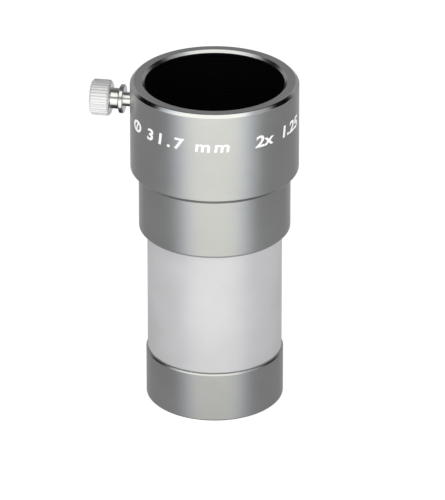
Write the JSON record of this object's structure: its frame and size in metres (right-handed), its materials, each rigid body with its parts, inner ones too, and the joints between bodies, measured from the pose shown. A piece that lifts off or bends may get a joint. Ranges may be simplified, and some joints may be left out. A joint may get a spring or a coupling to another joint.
{
  "type": "barlow lens",
  "caption": "Barlow lens for 1.25-inch telescope eyepieces: stepped tube with a top socket, a side thumbscrew, a straight nosepiece and a screw-in negative lens cell.",
  "frame": {"origin": "on the optical axis at the height of the assembly's centroid, 2.25 mm below the collar's lower shoulder", "axes": "+Z along the optical axis from the lens cell towards the eyepiece; the thumbscrew points along -X"},
  "size_m": [0.0478, 0.0386, 0.0793],
  "materials": {
    "gunmetal": "satin gunmetal anodised",
    "satin_silver": "satin silver",
    "black_anodised": "matte black anodised",
    "black_fibre": "black fibre washer",
    "bright_nickel": "bright nickel plate",
    "black_nylon": "black nylon",
    "coated_glass": "coated optical glass"
  },
  "bodies": {
    "barrel": {"body_collar": "gunmetal", "barrel_tube": "satin_silver", "upper_baffle": "black_anodised", "lower_baffle": "black_anodised"},
    "holder_carrier": {"holder_washer": "black_fibre"},
    "holder": {"eyepiece_holder": "gunmetal", "holder_liner": "black_anodised"},
    "screw_tip": {"thumbscrew_tip": "black_nylon"},
    "thumbscrew": {"thumbscrew_knob": "bright_nickel", "thumbscrew_stud": "bright_nickel"},
    "cell_carrier": {"cell_washer": "satin_silver"},
    "cell": {"lens_cell": "gunmetal", "front_element": "coated_glass", "lens_spacer": "black_anodised", "rear_element": "coated_glass", "retaining_ring": "black_anodised"}
  },
  "joints": [
    {"name": "holder_lift", "type": "slide", "parent": "barrel", "child": "holder_carrier", "axis": [0, 0, 1], "range_m": [0, 0.00375]},
    {"name": "holder_turn", "type": "hinge", "parent": "holder_carrier", "child": "holder", "pos_m": [0, 0, 0.018], "axis": [0, 0, 1], "range_deg": [0, 1801]},
    {"name": "screw_travel", "type": "slide", "parent": "holder", "child": "screw_tip", "axis": [-1, 0, 0], "range_m": [-0.0014, 0.0014]},
    {"name": "screw_turn", "type": "hinge", "parent": "screw_tip", "child": "thumbscrew", "pos_m": [-0.02, 0, 0.0327], "axis": [-1, 0, 0], "range_deg": [-721, 721]},
    {"name": "cell_drop", "type": "slide", "parent": "barrel", "child": "cell_carrier", "axis": [0, 0, -1], "range_m": [0, 0.0036]},
    {"name": "cell_turn", "type": "hinge", "parent": "cell_carrier", "child": "cell", "pos_m": [0, 0, -0.0283], "axis": [0, 0, -1], "range_deg": [0, 2161]}
  ],
  "couplings": [
    {"joint": "holder_turn", "follows": "holder_lift", "rad_per_m": 8377.6},
    {"joint": "screw_turn", "follows": "screw_travel", "rad_per_m": 8976},
    {"joint": "cell_turn", "follows": "cell_drop", "rad_per_m": 10472}
  ]
}
